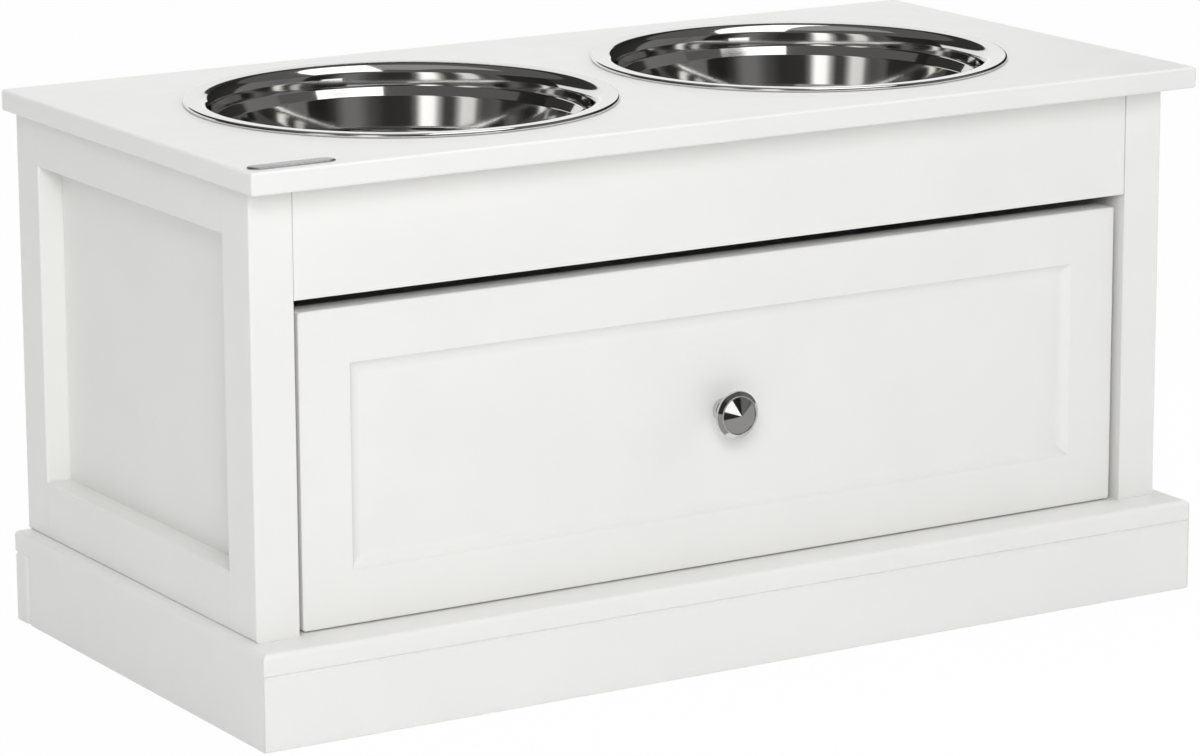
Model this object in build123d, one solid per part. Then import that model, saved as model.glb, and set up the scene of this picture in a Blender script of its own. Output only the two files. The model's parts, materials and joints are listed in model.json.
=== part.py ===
from build123d import *
import math
import os

# Raised feeding stand: two lift-out bowls in a top board, over an inset storage drawer on rollers.
# Sizes are in millimetres. The origin is on the floor under the middle of the base, +X points to
# the right, +Y to the back and +Z up. The drawer opens towards -Y.

# Overall sizes
stand_width = 600.0  # top board and base, from side to side
top_depth = 300.0  # top board, from front to back
base_lip = 2.0  # how far the base stands in front of the top board
top_thick = 12.0
base_board_thick = 12.0  # board that closes the base, with its front edge in view
plinth_height = 40.0  # floor to the underside of the base board
side_height = 240.0  # side frames, between base board and top board

# Side frames: stiles and rails round a thin panel
frame_thick = 25.0
side_overhang = 8.5  # top board past the outer face of a side frame
front_overhang = 21.0  # top board past the front of the side frames
front_stile_width = 31.0
rear_stile_width = 27.0
top_rail_height = 28.5
bottom_rail_height = 32.0
side_panel_recess = 14.5
side_panel_thick = 5.0
panel_groove = 6.0  # depth of the grooves that hold a panel
panel_play = 0.5  # free space between a panel or tongue and the end of its groove

# Apron and back
apron_height = 61.0
apron_thick = 15.0
apron_seam = 0.4  # open seam between apron and stile
back_thick = 5.0
back_inset = 5.0  # back panel in from the rear edge of the stiles

# Plinth
plinth_thick = 15.0
plinth_rear_thick = 18.0
plinth_seam = 1.0  # bevel along the seam under the base board
glue_block_length = 34.0
glue_block_side = 18.0
glue_block_spacing = 210.0
glue_block_shift = 45.0  # side blocks, forward of the middle
glue_block_floor_gap = 3.0

# Edges taken off by sanding and moulding
top_ease = 1.6
frame_ease = 1.2
base_ease = 3.0
plinth_tip_ease = 0.5
plinth_rear_ease = 0.8
plinth_rear_round = 7.0  # inner end edges of the rear board
plinth_rear_bevel = 3.0
apron_ease = 0.5
drawer_edge_ease = 1.0
drawer_corner_ease = 1.6
drawer_board_ease = 1.5

# Bowls: pressed sheet steel with a rolled rim, a shoulder and a flat bottom
bowl_mouth_r = 104.4  # the wall under the rounded mouth
bowl_rim_width = 14.6  # wall to the outer edge of the rim
bowl_gap = 22.0  # between the rims of the two bowls
bowl_front_gap = 4.0  # apron to the hole of a bowl
bowl_rim_rise = 2.6  # top of the rim above the top board
bowl_rim_fall = 0.5  # outer edge of the rim below its top
bowl_sheet = 0.9
bowl_depth = 62.0  # rim to the inside of the bottom
bowl_shoulder_depth = 12.4
bowl_shoulder_drop = 5.4
bowl_shoulder_step = 3.4
bowl_upper_taper = 0.4
bowl_lower_taper = 2.6
bowl_bottom_round = 10.0
bowl_shoulder_round = 2.5
bowl_mouth_round = 8.0
bowl_lip_round = 1.2
bowl_hole_gap = 4.7  # radial gap between the wall and its hole, for the rounded mouth

# Drawer
drawer_front_thick = 15.0
drawer_inset = 3.5  # face of the drawer behind the face of the stiles
drawer_gap_side = 4.3
drawer_gap_top = 7.5
drawer_gap_bottom = 0.7
drawer_panel_recess = 4.0
drawer_panel_frame = 29.8
drawer_cove_r = 8.0  # hollow that leads from the frame down to the sunk field
drawer_cove_turn = 60.0  # degrees of the hollow's arc
drawer_box_height = 140.0
drawer_rear_space = 23.0  # drawer box to back panel, for the rear rollers and the stops
drawer_box_rise = 10.0  # underside of the drawer box above the base board
drawer_board_thick = 12.0
drawer_bottom_thick = 4.0
drawer_bottom_rise = 10.0  # underside of the drawer bottom above the underside of the sides
drawer_groove = 6.0
drawer_joint_inset = 26.0  # dowels and screws in from the floor and the upper edge
drawer_travel_length = 180.0

# Runners: a channel on each side frame, an angle on each drawer side, two rollers
runner_space = 12.5  # between drawer side and side frame
runner_sheet = 1.2
channel_rise = 8.0  # underside of the channel above the base board
channel_reach = 8.5  # width of the channel's flanges past its web
channel_front_gap = 2.0  # front end of the channel's flanges behind the front roller
channel_front_tail = 11.0  # web of the channel forward of the front roller
roller_r = 8.5
roller_width = 6.0
roller_ease = 0.5
roller_play = 0.3
roller_front_gap = 2.0  # front roller behind the back of the drawer front
flange_gap = 0.8  # drawer angle's flange above the channel
angle_shelf_width = 12.0  # shelf of the angle, under the drawer side
angle_front_gap = 1.0
angle_flange_gap = 2.5  # edge of the angle's flange to the side frame
angle_tail_length = 5.5  # web of the angle behind the middle of its roller
roller_rear_reach = 11.5  # middle of the drawer's roller behind the drawer box
stop_height = 5.0
stop_reach = 4.0

# Roller axles
axle_r = 2.0
axle_shoulder_r = 3.0
axle_head_r = 3.2
axle_head_thick = 0.8
axle_play = 0.06  # roller on its axle, radial
axle_end_play = 0.15
fixed_play = 0.03  # fasteners in their holes, radial
cutter_reach = 1.0  # how far a cutter runs past the face where it comes out

# Screws, dowels and cam fittings
screw_r = 1.75
screw_head_r = 3.4
screw_head_thick = 0.7
runner_screw_length = 11.0
angle_screw_length = 8.0
angle_screw_rise = 6.0  # above the underside of the drawer side
angle_screw_end = 20.0  # in from the ends of the drawer side
channel_screw_front = 7.0  # forward of the front roller
channel_screw_rear = 17.5  # in from the rear edge of the stile
carcass_screw_r = 2.25
carcass_screw_head_r = 3.9
carcass_screw_head_thick = 2.6
carcass_screw_length = 40.0
carcass_screw_inset = 10.5  # in from the outer face of the side frame
carcass_screw_front = 20.0  # back from the front of the side frame
carcass_screw_rear = 24.0  # in from the rear edge
dowel_r = 4.0
dowel_length = 30.0
dowel_end_play = 1.0
dowel_end_ease = 0.8
apron_dowel_inset = 15.0
top_dowel_length = 20.0
top_dowel_depth = 8.0
top_dowel_from_stile = 78.0
drawer_dowel_length = 24.0
drawer_dowel_depth = 8.0
drawer_back_screw_length = 32.0
drawer_back_screw_sink = 1.5
cam_r = 7.5
cam_thick = 12.0
cam_drop = 14.0  # middle of the cam below the top of the side frame
cam_from_stile = 40.0
cam_mouth_play = 0.3
cam_slot_length = 9.0
cam_slot_width = 1.4
cam_slot_depth = 2.0
drawer_cam_thick = 10.0
drawer_cam_setback = 24.0
bolt_r = 2.8
bolt_neck_r = 1.7
bolt_head_r = 3.0
bolt_head_thick = 2.5
bolt_hole_r = 4.0
bolt_collar = 1.0
bolt_depth = 9.0

# Knob: turned and plated, with a cone for its face
knob_base_r = 6.4
knob_base_thick = 3.4
knob_neck_r = 5.6
knob_flare_r = 7.2
knob_flare_at = 9.6
knob_head_r = 13.2
knob_head_at = 14.2
knob_head_thick = 1.4
knob_ring_r = 10.8
knob_ring_at = 17.3
knob_ring_rise = 0.5
knob_ring_wall = 0.5
knob_face_rise = 2.5
knob_tip_r = 0.8
knob_screw_r = 2.0
knob_screw_depth = 8.0
knob_screw_head_r = 4.0
knob_screw_head_thick = 2.4

# Levels and planes that follow from the sizes above
x_edge = stand_width / 2
y_rear = (top_depth + base_lip) / 2
y_base_front = -y_rear
y_top_front = y_rear - top_depth
z_ledge = plinth_height + base_board_thick
z_under_top = z_ledge + side_height
z_top = z_under_top + top_thick

x_frame_out = x_edge - side_overhang
x_frame_in = x_frame_out - frame_thick
y_frame_front = y_top_front + front_overhang
y_stile_front = y_frame_front + front_stile_width
y_stile_rear = y_rear - rear_stile_width
z_rail_top = z_under_top - top_rail_height
z_rail_bottom = z_ledge + bottom_rail_height
x_panel_out = x_frame_out - side_panel_recess
x_panel_in = x_panel_out - side_panel_thick

y_apron_back = y_frame_front + apron_thick
z_apron = z_under_top - apron_height
y_back_panel = y_rear - back_inset
x_plinth_in = x_edge - plinth_thick
y_plinth_front_in = y_base_front + plinth_thick
y_plinth_rear_in = y_rear - plinth_rear_thick

bowl_rim_r = bowl_mouth_r + bowl_rim_width
bowl_hole_r = bowl_mouth_r + bowl_sheet + bowl_hole_gap
x_bowl = bowl_gap / 2 + bowl_rim_r
y_bowl = y_apron_back + bowl_front_gap + bowl_hole_r

y_drawer_face = y_frame_front + drawer_inset
y_drawer_joint = y_drawer_face + drawer_front_thick  # where the box meets its front
y_drawer_rear = y_back_panel - back_thick - drawer_rear_space
x_drawer_front = x_frame_in - drawer_gap_side
z_drawer_front = z_ledge + drawer_gap_bottom
z_drawer_front_top = z_apron - drawer_gap_top
z_drawer_middle = (z_drawer_front + z_drawer_front_top) / 2
x_drawer_side = x_frame_in - runner_space
x_drawer_in = x_drawer_side - drawer_board_thick
z_drawer_box = z_ledge + drawer_box_rise
z_drawer_box_top = z_drawer_box + drawer_box_height
z_drawer_bottom = z_drawer_box + drawer_bottom_rise
z_drawer_floor = z_drawer_bottom + drawer_bottom_thick

x_web = x_frame_in - runner_sheet
z_channel = z_ledge + channel_rise
z_rear_roller = z_channel + runner_sheet + roller_play + roller_r
z_channel_top = z_rear_roller + roller_r + roller_play + runner_sheet
z_flange = z_channel_top + flange_gap
z_front_roller = z_flange - roller_play - roller_r
y_front_roller = y_drawer_joint + roller_front_gap + roller_r
y_rear_roller = y_drawer_rear + roller_rear_reach
y_channel_stop = y_rear_roller + roller_r + roller_play
x_angle = x_drawer_side + runner_sheet
x_roller = (x_angle + x_web) / 2
z_knob = z_drawer_middle
y_knob_seat = y_drawer_face + drawer_panel_recess

up = Vector(0, 0, 1)
down = Vector(0, 0, -1)
right = Vector(1, 0, 0)
left = Vector(-1, 0, 0)
back = Vector(0, 1, 0)
front = Vector(0, -1, 0)


def block(x, y, z):
    """Box between the limits given as (low, high) along each axis."""
    middle = Pos((x[0] + x[1]) / 2, (y[0] + y[1]) / 2, (z[0] + z[1]) / 2)
    return middle * Box(x[1] - x[0], y[1] - y[0], z[1] - z[0])


def rod(radius, start, end):
    """Round bar, or the cutter of a round hole, between two points."""
    path = end - start
    return extrude(Plane(origin=start, z_dir=path) * Circle(radius), path.length)


def turned(points, start, direction):
    """Body of revolution from (radius, distance) points along a line from start."""
    outline = make_face(Polyline(*[(r, 0, d) for r, d in points], close=True))
    return Plane(origin=start, z_dir=direction) * revolve(outline, Axis.Z, 360)


def mirrored(piece):
    return mirror(piece, about=Plane.YZ)


def both_sides(pieces):
    """The given pieces together with their mirror images."""
    return list(pieces) + [mirrored(piece) for piece in pieces]


# ---- Fasteners ----


def drill(seat, direction, radius, depth):
    """Cutter for a straight hole that starts at the seat."""
    return rod(radius + fixed_play, seat, seat + direction * depth)


def screw(seat, direction, length, radius, head_r, head_thick):
    """Screw with its head standing on the seat and its shank running along direction."""
    crown_r = (radius + head_r) / 2
    points = [(0, -head_thick), (crown_r, -head_thick), (head_r, 0), (radius, 0)]
    points += [(radius, length - radius), (0, length)]
    return turned(points, seat, direction)


def carcass_screw(seat, grow=0.0):
    """Long screw pointing up, its head flush with the seat; grow turns it into a cutter."""
    points = [(0, 0), (carcass_screw_head_r + grow, 0)]
    points += [(carcass_screw_r + grow, carcass_screw_head_thick)]
    points += [(carcass_screw_r + grow, carcass_screw_length - carcass_screw_r)]
    points += [(0, carcass_screw_length + grow)]
    return turned(points, seat, up)


def cam_bolt(seat, direction, reach):
    """Bolt anchored in the board behind the seat, with its head inside the cam at reach."""
    neck = reach - bolt_head_thick
    points = [(0, -bolt_depth), (bolt_r, -bolt_depth), (bolt_r, bolt_collar), (bolt_neck_r, bolt_collar)]
    points += [(bolt_neck_r, neck), (bolt_head_r, neck), (bolt_head_r, reach), (0, reach)]
    return turned(points, seat, direction)


def cam_lock(face, inward, to_bolt, thick):
    """Cam let into a board from its face, with a mouth for the bolt and a cross slot."""
    middle = face + inward * (thick / 2)
    cam = rod(cam_r - fixed_play, face, face + inward * thick)
    cam -= rod(bolt_head_r + cam_mouth_play, middle, middle + to_bolt * (cam_r + cutter_reach))
    for along in (to_bolt, inward.cross(to_bolt)):
        slot = Plane(origin=face, x_dir=along, z_dir=inward) * Rectangle(cam_slot_length, cam_slot_width)
        cam -= extrude(slot, cam_slot_depth)
    return cam


def cam_pocket(face, inward, to_bolt, thick, reach):
    """Cutter for a cam and for the hole that its bolt comes in through."""
    middle = face + inward * (thick / 2)
    return rod(cam_r, face, face + inward * thick) + rod(bolt_hole_r, middle, middle + to_bolt * reach)


def dowel(middle, direction, length):
    half = length / 2 - dowel_end_ease
    points = [(0, -length / 2), (dowel_r - dowel_end_ease, -length / 2), (dowel_r, -half), (dowel_r, half)]
    points += [(dowel_r - dowel_end_ease, length / 2), (0, length / 2)]
    return turned(points, middle, direction)


def top_bolt_seats(side):
    """Where the cam bolts leave the underside of the top board."""
    x = side * (x_frame_in + cam_thick / 2)
    ends = (y_stile_front + cam_from_stile, y_stile_rear - cam_from_stile)
    return [Vector(x, y, z_under_top) for y in ends]


def top_dowel_seats(side):
    x = side * (x_frame_out + x_frame_in) / 2
    ends = (y_stile_front + top_dowel_from_stile, y_stile_rear - top_dowel_from_stile)
    return [Vector(x, y, z_under_top) for y in ends]


def apron_dowel_seats(side):
    y = (y_frame_front + y_apron_back) / 2
    heights = (z_apron + apron_dowel_inset, z_under_top - apron_dowel_inset)
    return [Vector(side * x_frame_in, y, z) for z in heights]


def carcass_screw_seats(side):
    x = side * (x_frame_out - carcass_screw_inset)
    middle = (y_stile_front + y_stile_rear) / 2
    places = (y_frame_front + carcass_screw_front, middle, y_rear - carcass_screw_rear)
    return [Vector(x, y, plinth_height) for y in places]


def channel_screw_seats(side):
    """On the inner face of the channel's web, in front of the front roller and at the rear."""
    places = (y_front_roller - channel_screw_front, y_rear - channel_screw_rear)
    return [Vector(side * x_web, y, z_rear_roller) for y in places]


def angle_screw_seats(side):
    z = z_drawer_box + angle_screw_rise
    first = y_drawer_joint + angle_screw_end
    last = y_drawer_rear - angle_screw_end
    return [Vector(side * x_angle, y, z) for y in (first, (first + last) / 2, last)]


def drawer_back_screw_seats(side):
    y = y_drawer_rear - drawer_board_thick / 2
    heights = (z_drawer_floor + drawer_joint_inset, z_drawer_box_top - drawer_joint_inset)
    return [Vector(side * x_drawer_side, y, z) for z in heights]


def drawer_dowel_seats(side):
    x = side * (x_drawer_side + x_drawer_in) / 2
    heights = (z_drawer_floor + drawer_joint_inset, z_drawer_box_top - drawer_joint_inset)
    return [Vector(x, y_drawer_joint, z) for z in heights]


def drawer_cam_face(side):
    z = (z_drawer_floor + z_drawer_box_top) / 2
    return Vector(side * x_drawer_in, y_drawer_joint + drawer_cam_setback, z)


def drawer_bolt_seat(side):
    face = drawer_cam_face(side)
    return Vector(face.X + side * drawer_cam_thick / 2, y_drawer_joint, face.Z)


# ---- Top board and side frames ----


def top_board():
    board = block((-x_edge, x_edge), (y_top_front, y_rear), (z_under_top, z_top))
    board = fillet(board.edges(), top_ease)
    for x in (-x_bowl, x_bowl):
        board -= drill(Vector(x, y_bowl, z_under_top), up, bowl_hole_r, top_thick + cutter_reach)
    for side in (-1, 1):
        for seat in top_bolt_seats(side):
            board -= drill(seat, up, bolt_r, bolt_depth)
        for seat in top_dowel_seats(side):
            board -= drill(seat, up, dowel_r, top_dowel_depth)
    return board


def left_frame():
    """Left side frame as it leaves the sander, before it is parted into its members."""
    x = (-x_frame_out, -x_frame_in)
    frame = block(x, (y_frame_front, y_rear), (z_ledge, z_under_top))
    frame -= block(x, (y_stile_front, y_stile_rear), (z_rail_bottom, z_rail_top))
    outer_face = frame.faces().sort_by(Axis.X)[0]
    return fillet(outer_face.edges(), frame_ease)


def left_stile(frame, y, groove_y):
    """Stile between two Y limits, with the groove for the side panel along its inner edge."""
    stile = frame & block((-x_frame_out, -x_frame_in), y, (z_ledge, z_under_top))
    return stile - block((-x_panel_out, -x_panel_in), groove_y, (z_ledge, z_under_top))


def left_front_stile(frame):
    stile = left_stile(frame, (y_frame_front, y_stile_front), (y_stile_front - panel_groove, y_stile_front))
    for seat in apron_dowel_seats(-1):
        stile -= drill(seat, left, dowel_r, dowel_length / 2 + dowel_end_play)
    stile -= carcass_screw(carcass_screw_seats(-1)[0], fixed_play)
    return stile - drill(channel_screw_seats(-1)[0], left, screw_r, runner_screw_length)


def left_rear_stile(frame):
    stile = left_stile(frame, (y_stile_rear, y_rear), (y_stile_rear, y_stile_rear + panel_groove))
    groove_x = (-x_frame_in - panel_groove, -x_frame_in)
    stile -= block(groove_x, (y_back_panel - back_thick, y_back_panel), (z_ledge, z_under_top))
    stile -= carcass_screw(carcass_screw_seats(-1)[2], fixed_play)
    return stile - drill(channel_screw_seats(-1)[1], left, screw_r, runner_screw_length)


def left_rail(frame, z, groove_z, tongue_z):
    """Rail with a tongue at each end and the groove for the side panel along one edge."""
    x = (-x_panel_out, -x_panel_in)
    reach = panel_groove - panel_play
    rail = frame & block((-x_frame_out, -x_frame_in), (y_stile_front, y_stile_rear), z)
    rail += block(x, (y_stile_front - reach, y_stile_front), tongue_z)
    rail += block(x, (y_stile_rear, y_stile_rear + reach), tongue_z)
    return rail - block(x, (y_stile_front, y_stile_rear), groove_z)


def left_top_rail(frame):
    groove = (z_rail_top, z_rail_top + panel_groove)
    rail = left_rail(frame, (z_rail_top, z_under_top), groove, (groove[1], z_under_top))
    for seat in top_bolt_seats(-1):
        rail -= cam_pocket(cam_face(seat), left, up, cam_thick, cam_drop)
    for seat in top_dowel_seats(-1):
        rail -= drill(seat, down, dowel_r, top_dowel_length - top_dowel_depth + dowel_end_play)
    return rail


def left_bottom_rail(frame):
    groove = (z_rail_bottom - panel_groove, z_rail_bottom)
    rail = left_rail(frame, (z_ledge, z_rail_bottom), groove, (z_ledge, groove[0]))
    return rail - carcass_screw(carcass_screw_seats(-1)[1], fixed_play)


def left_side_panel():
    """Thin panel that stands in the grooves of the bottom rail and the stiles."""
    reach = panel_groove - panel_play
    y = (y_stile_front - reach, y_stile_rear + reach)
    return block((-x_panel_out, -x_panel_in), y, (z_rail_bottom - panel_groove, z_rail_top + reach))


def cam_face(bolt_seat):
    """Where the cam for a bolt opens on the inner face of the left top rail."""
    return Vector(-x_frame_in, bolt_seat.Y, bolt_seat.Z - cam_drop)


def front_apron():
    reach = x_frame_in - apron_seam
    apron = block((-reach, reach), (y_frame_front, y_apron_back), (z_apron, z_under_top))
    front_face = apron.faces().sort_by(Axis.Y)[0]
    apron = fillet(front_face.edges().filter_by(Axis.Z), apron_ease)
    for seat in apron_dowel_seats(-1):
        apron -= drill(seat, right, dowel_r, dowel_length / 2 + dowel_end_play)
    for seat in apron_dowel_seats(1):
        apron -= drill(seat, left, dowel_r, dowel_length / 2 + dowel_end_play)
    return apron


def back_panel():
    reach = x_frame_in + panel_groove - panel_play
    return block((-reach, reach), (y_back_panel - back_thick, y_back_panel), (z_ledge, z_under_top))


# ---- Base ----


def base_block():
    """Outline of the whole base with its softened upper edge."""
    base = block((-x_edge, x_edge), (y_base_front, y_rear), (0, z_ledge))
    return fillet(base.faces().sort_by(Axis.Z)[-1].edges(), base_ease)


def base_board():
    """Board over the plinth: its front edge shows, its sides are let in between the side boards."""
    outline = [(-x_edge, y_base_front), (x_edge, y_base_front), (x_plinth_in, y_plinth_front_in)]
    outline += [(x_plinth_in, y_plinth_rear_in), (x_edge, y_plinth_rear_in), (x_edge, y_rear)]
    outline += [(-x_edge, y_rear), (-x_edge, y_plinth_rear_in), (-x_plinth_in, y_plinth_rear_in)]
    outline += [(-x_plinth_in, y_plinth_front_in)]
    sheet = Pos(0, 0, plinth_height) * make_face(Polyline(*outline, close=True))
    board = base_block() & extrude(sheet, base_board_thick)
    board = chamfer(front_edges(board)[0], plinth_seam)
    for side in (-1, 1):
        for seat in carcass_screw_seats(side):
            board -= carcass_screw(seat, fixed_play)
    return board


def front_edges(board):
    """The long edges of a board's front face, the lowest first."""
    return board.edges().filter_by(Axis.X).group_by(Axis.Y)[0].sort_by(Axis.Z)


def plinth_front():
    """Front board with mitred, blunted ends; its upper edge is bevelled along the seam."""
    face_x = x_edge - 2 * plinth_tip_ease
    tip_x = x_edge - plinth_tip_ease
    tip_y = y_base_front + plinth_tip_ease
    outline = [(-face_x, y_base_front), (face_x, y_base_front), (tip_x, tip_y)]
    outline += [(x_plinth_in, y_plinth_front_in), (-x_plinth_in, y_plinth_front_in), (-tip_x, tip_y)]
    board = extrude(make_face(Polyline(*outline, close=True)), plinth_height)
    return chamfer(front_edges(board)[-1], plinth_seam)


def left_plinth():
    """Side board of the full height of the base, mitred in front and butted at the rear."""
    outline = [(-x_edge, y_base_front), (-x_plinth_in, y_plinth_front_in)]
    outline += [(-x_plinth_in, y_plinth_rear_in), (-x_edge, y_plinth_rear_in)]
    return base_block() & extrude(make_face(Polyline(*outline, close=True)), z_ledge)


def plinth_rear():
    """Rear board with rounded ends that stay in view at the sides."""
    board = block((-x_edge, x_edge), (y_plinth_rear_in, y_rear), (0, plinth_height))
    upper = board.edges().filter_by(Axis.X).group_by(Axis.Z)[-1]
    board = chamfer(upper.sort_by(Axis.Y)[-1], plinth_rear_bevel)
    board = fillet(board.edges().filter_by(Axis.Z).group_by(Axis.Y)[-1], plinth_rear_ease)
    return fillet(board.edges().filter_by(Axis.Z).group_by(Axis.Y)[0], plinth_rear_round)


def plinth_blocks():
    """Glue blocks in the corners between the plinth boards and the base board."""
    z = (glue_block_floor_gap, plinth_height)
    half = glue_block_length / 2
    at_front = (y_plinth_front_in, y_plinth_front_in + glue_block_side)
    at_rear = (y_plinth_rear_in - glue_block_side, y_plinth_rear_in)
    blocks = []
    for x in (-glue_block_spacing, 0, glue_block_spacing):
        blocks += [block((x - half, x + half), y, z) for y in (at_front, at_rear)]
    y = (-glue_block_shift - half, -glue_block_shift + half)
    blocks += both_sides([block((-x_plinth_in, -x_plinth_in + glue_block_side), y, z)])
    return blocks


# ---- Bowls ----


def bowl(x):
    """Pressed bowl hanging by its rim, turned from the line of its upper surface."""
    rim_z = z_top + bowl_rim_rise
    shoulder_z = rim_z - bowl_shoulder_depth
    upper_r = bowl_mouth_r - bowl_upper_taper
    lower_r = upper_r - bowl_shoulder_step
    bottom_z = rim_z - bowl_depth
    points = [(0, bottom_z), (lower_r - bowl_lower_taper, bottom_z)]
    points += [(lower_r, shoulder_z - bowl_shoulder_drop), (upper_r, shoulder_z)]
    points += [(bowl_mouth_r, rim_z), (bowl_rim_r, rim_z - bowl_rim_fall), (bowl_rim_r, z_top)]
    rounds = [bowl_bottom_round, bowl_shoulder_round, bowl_shoulder_round, bowl_mouth_round, bowl_lip_round]
    line = FilletPolyline(*points, radius=rounds)
    section = make_face(offset(line, amount=bowl_sheet, side=Side.RIGHT))
    return Pos(x, y_bowl, 0) * revolve(Plane.XZ * section, Axis.Z, 360)


# ---- Drawer ----


def drawer_front():
    """Moulded board with a sunk field, grooved at the back for the drawer bottom."""
    x = (-x_drawer_front, x_drawer_front)
    board = block(x, (y_drawer_face, y_drawer_joint), (z_drawer_front, z_drawer_front_top))
    board = fillet(board.edges().filter_by(Axis.Y), drawer_corner_ease)
    board = fillet(board.faces().sort_by(Axis.Y)[0].edges(), drawer_edge_ease)
    board -= drawer_field()
    reach = x_drawer_in + drawer_groove
    y = (y_drawer_joint - drawer_groove, y_drawer_joint)
    board -= block((-reach, reach), y, (z_drawer_bottom, z_drawer_floor))
    board -= drill(Vector(0, y_drawer_face, z_knob), back, knob_screw_r, drawer_front_thick)
    for side in (-1, 1):
        for seat in drawer_dowel_seats(side):
            board -= drill(seat, front, dowel_r, drawer_dowel_depth)
        board -= drill(drawer_bolt_seat(side), front, bolt_r, bolt_depth)
    return board


def drawer_field():
    """Cutter for the sunk field, with a hollow that runs round it and meets in mitred corners."""
    half_width = x_drawer_front - drawer_panel_frame
    half_height = (z_drawer_front_top - z_drawer_front) / 2 - drawer_panel_frame
    origin = (0, y_drawer_face, z_drawer_middle)
    along_z = Plane(origin=origin, x_dir=(1, 0, 0), z_dir=(0, 0, 1)) * field_section(half_width)
    along_x = Plane(origin=origin, x_dir=(0, 0, 1), z_dir=(-1, 0, 0)) * field_section(half_height)
    return extrude(along_z, half_height, both=True) & extrude(along_x, half_width, both=True)


def field_section(half):
    """Section across the sunk field, which is flat between its two hollows."""
    turn = math.radians(drawer_cove_turn)
    flat = half - drawer_cove_r * math.sin(turn)
    depth = drawer_cove_r * (1 - math.cos(turn))
    centre_y = drawer_panel_recess - drawer_cove_r
    hollow = CenterArc((flat, centre_y), drawer_cove_r, 90 - drawer_cove_turn, drawer_cove_turn)
    rest = Polyline(
        (flat, drawer_panel_recess),
        (0, drawer_panel_recess),
        (0, -cutter_reach),
        (half, -cutter_reach),
        (half, drawer_panel_recess - depth),
    )
    right_half = make_face([*hollow.edges(), *rest.edges()])
    return right_half + mirror(right_half, about=Plane.YZ)


def left_drawer_side():
    y = (y_drawer_joint, y_drawer_rear)
    board = block((-x_drawer_side, -x_drawer_in), y, (z_drawer_box, z_drawer_box_top))
    board = fillet(board.faces().sort_by(Axis.Z)[-1].edges().filter_by(Axis.Y), drawer_board_ease)
    groove_x = (-x_drawer_in - drawer_groove, -x_drawer_in)
    board -= block(groove_x, y, (z_drawer_bottom, z_drawer_floor))
    for seat in angle_screw_seats(-1):
        board -= drill(seat, right, screw_r, angle_screw_length)
    for seat in drawer_back_screw_seats(-1):
        board -= drill(seat, right, screw_r, drawer_back_screw_length)
        board -= drill(seat, right, screw_head_r, drawer_back_screw_sink)
    for seat in drawer_dowel_seats(-1):
        board -= drill(seat, back, dowel_r, drawer_dowel_length - drawer_dowel_depth + dowel_end_play)
    return board - cam_pocket(drawer_cam_face(-1), left, front, drawer_cam_thick, drawer_cam_setback)


def drawer_back():
    y = (y_drawer_rear - drawer_board_thick, y_drawer_rear)
    board = block((-x_drawer_in, x_drawer_in), y, (z_drawer_floor, z_drawer_box_top))
    board = fillet(board.faces().sort_by(Axis.Z)[-1].edges().filter_by(Axis.X), drawer_board_ease)
    for seat in drawer_back_screw_seats(-1):
        board -= drill(seat, right, screw_r, drawer_back_screw_length)
    for seat in drawer_back_screw_seats(1):
        board -= drill(seat, left, screw_r, drawer_back_screw_length)
    return board


def drawer_bottom():
    reach = x_drawer_in + drawer_groove - panel_play
    y = (y_drawer_joint - drawer_groove + panel_play, y_drawer_rear)
    return block((-reach, reach), y, (z_drawer_bottom, z_drawer_floor))


def drawer_knob():
    """Turned knob: round foot, neck that flares to a wide head, and a ring round its cone face."""
    ring_top = knob_ring_at + knob_ring_rise
    inside_r = knob_ring_r - knob_ring_wall
    tip_at = knob_ring_at + knob_face_rise * (1 - knob_tip_r / inside_r)
    neck = (knob_neck_r, knob_base_thick)
    head = (knob_head_r, knob_head_at)
    foot = Polyline((0, 0), (knob_base_r, 0), (knob_base_r, knob_base_thick), neck)
    flare = ThreePointArc(neck, (knob_flare_r, knob_flare_at), head)
    face = Polyline(
        head,
        (knob_head_r, knob_head_at + knob_head_thick),
        (knob_ring_r, knob_ring_at),
        (knob_ring_r, ring_top),
        (inside_r, ring_top),
        (inside_r, knob_ring_at),
        (knob_tip_r, tip_at),
        (0, tip_at),
        (0, 0),
    )
    outline = make_face([*foot.edges(), *flare.edges(), *face.edges()])
    knob = revolve(Plane.XZ * outline, Axis.Z, 360)
    knob = Plane(origin=(0, y_knob_seat, z_knob), x_dir=(1, 0, 0), z_dir=(0, -1, 0)) * knob
    return knob - drill(Vector(0, y_knob_seat, z_knob), front, knob_screw_r, knob_screw_depth)


def knob_screw():
    length = y_drawer_joint - y_knob_seat + knob_screw_depth
    seat = Vector(0, y_drawer_joint, z_knob)
    return screw(seat, front, length, knob_screw_r, knob_screw_head_r, knob_screw_head_thick)


# ---- Runners ----


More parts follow.
